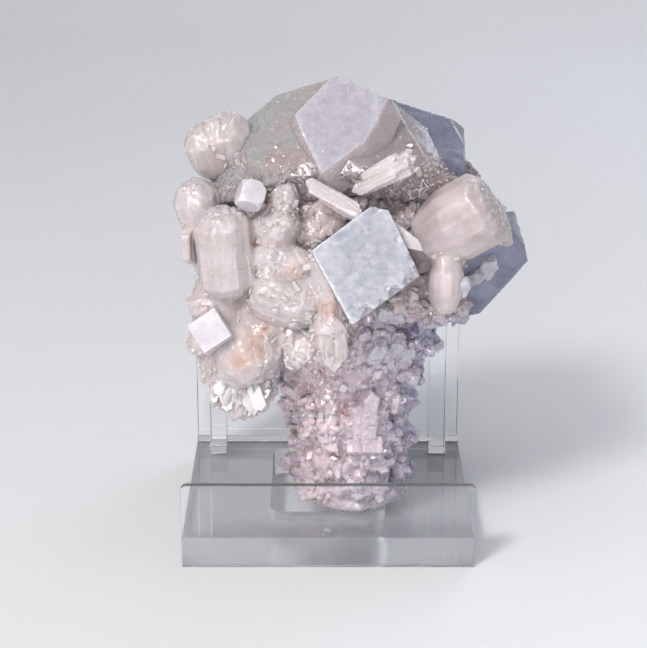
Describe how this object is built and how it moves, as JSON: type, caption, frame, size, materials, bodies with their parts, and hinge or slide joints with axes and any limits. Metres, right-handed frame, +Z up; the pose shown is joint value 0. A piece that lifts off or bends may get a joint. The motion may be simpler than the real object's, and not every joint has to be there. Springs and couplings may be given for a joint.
{
  "type": "apophyllite cluster on stand",
  "caption": "Apophyllite crystals with pearly stilbite sheaves on a drusy stem, standing upright in the slot of a clear acrylic display stand.",
  "frame": {"origin": "centre of the whole object's footprint, on the surface that the stand rests on", "axes": "+Z up, +Y towards the back wall of the stand, +X to the right as seen from the front lip"},
  "size_m": [0.0778, 0.0726, 0.1042],
  "materials": {
    "crown_crystal": "translucent grey-green crystal, glassy faces",
    "blue_grey_crystal": "translucent blue-grey crystal, glassy faces",
    "milky_crystal": "milky pale blue crystal with frosty faces",
    "stilbite": "cream to peach crystal with a pearly sheen",
    "druse": "sparkling lilac-pink coat of small crystals",
    "acrylic": "clear polished acrylic sheet"
  },
  "bodies": {
    "root": {"apophyllite_crown": "crown_crystal", "apophyllite_rear": "blue_grey_crystal", "apophyllite_right": "blue_grey_crystal", "apophyllite_centre": "milky_crystal", "apophyllite_small_left": "milky_crystal", "apophyllite_small_cube": "milky_crystal", "stilbite_upper_left": "stilbite", "stilbite_left": "stilbite", "stilbite_right": "stilbite", "stilbite_blade_upper": "stilbite", "stilbite_blade_lower": "stilbite", "matrix": "druse", "stand_base": "acrylic", "stand_lip": "acrylic", "stand_back": "acrylic", "stand_rib_left": "acrylic", "stand_rib_right": "acrylic"}
  },
  "joints": []
}
